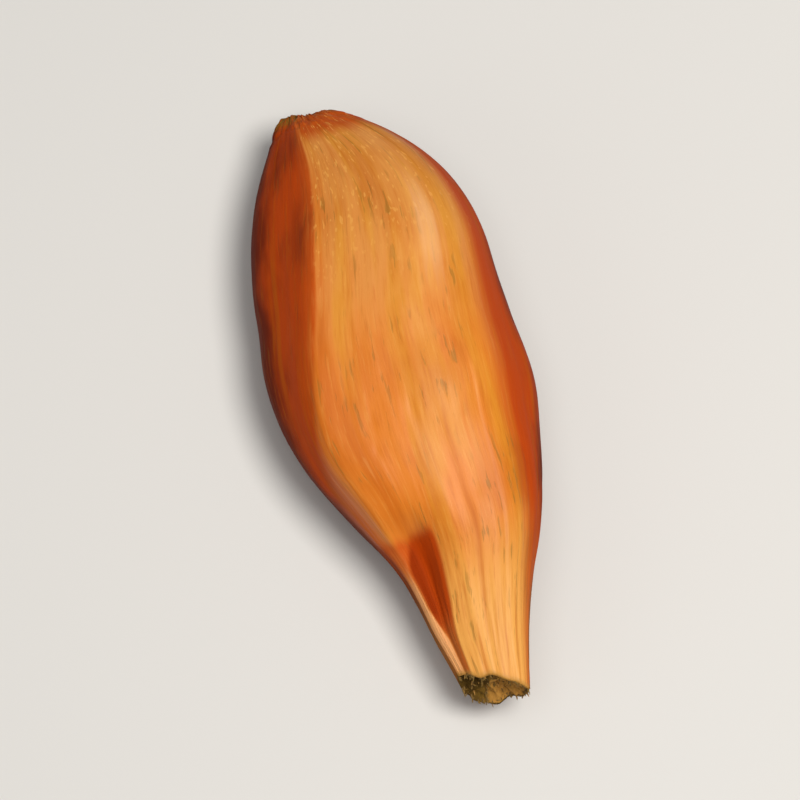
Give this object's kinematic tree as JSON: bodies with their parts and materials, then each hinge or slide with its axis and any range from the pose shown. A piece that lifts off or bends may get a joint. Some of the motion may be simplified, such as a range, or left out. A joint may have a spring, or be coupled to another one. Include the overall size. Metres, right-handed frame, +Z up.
{
  "type": "parana pine nut",
  "caption": "Long wedge-shaped tree nut in its shell, with a blunt wide end, a faceted front and a torn scar at the narrow tip.",
  "frame": {"origin": "centre of the bounding box at the surface the nut rests on", "axes": "+Z up out of the front face, +Y towards the wide end, -Y towards the narrow tip with the scar, +X to the right of the front face"},
  "size_m": [0.0208, 0.0512, 0.0152],
  "materials": {
    "shell": "satin, streaked orange-tan front with red-brown flanks, pale tip and dark olive scar"
  },
  "bodies": {
    "root": {"nut": "shell"}
  },
  "joints": []
}
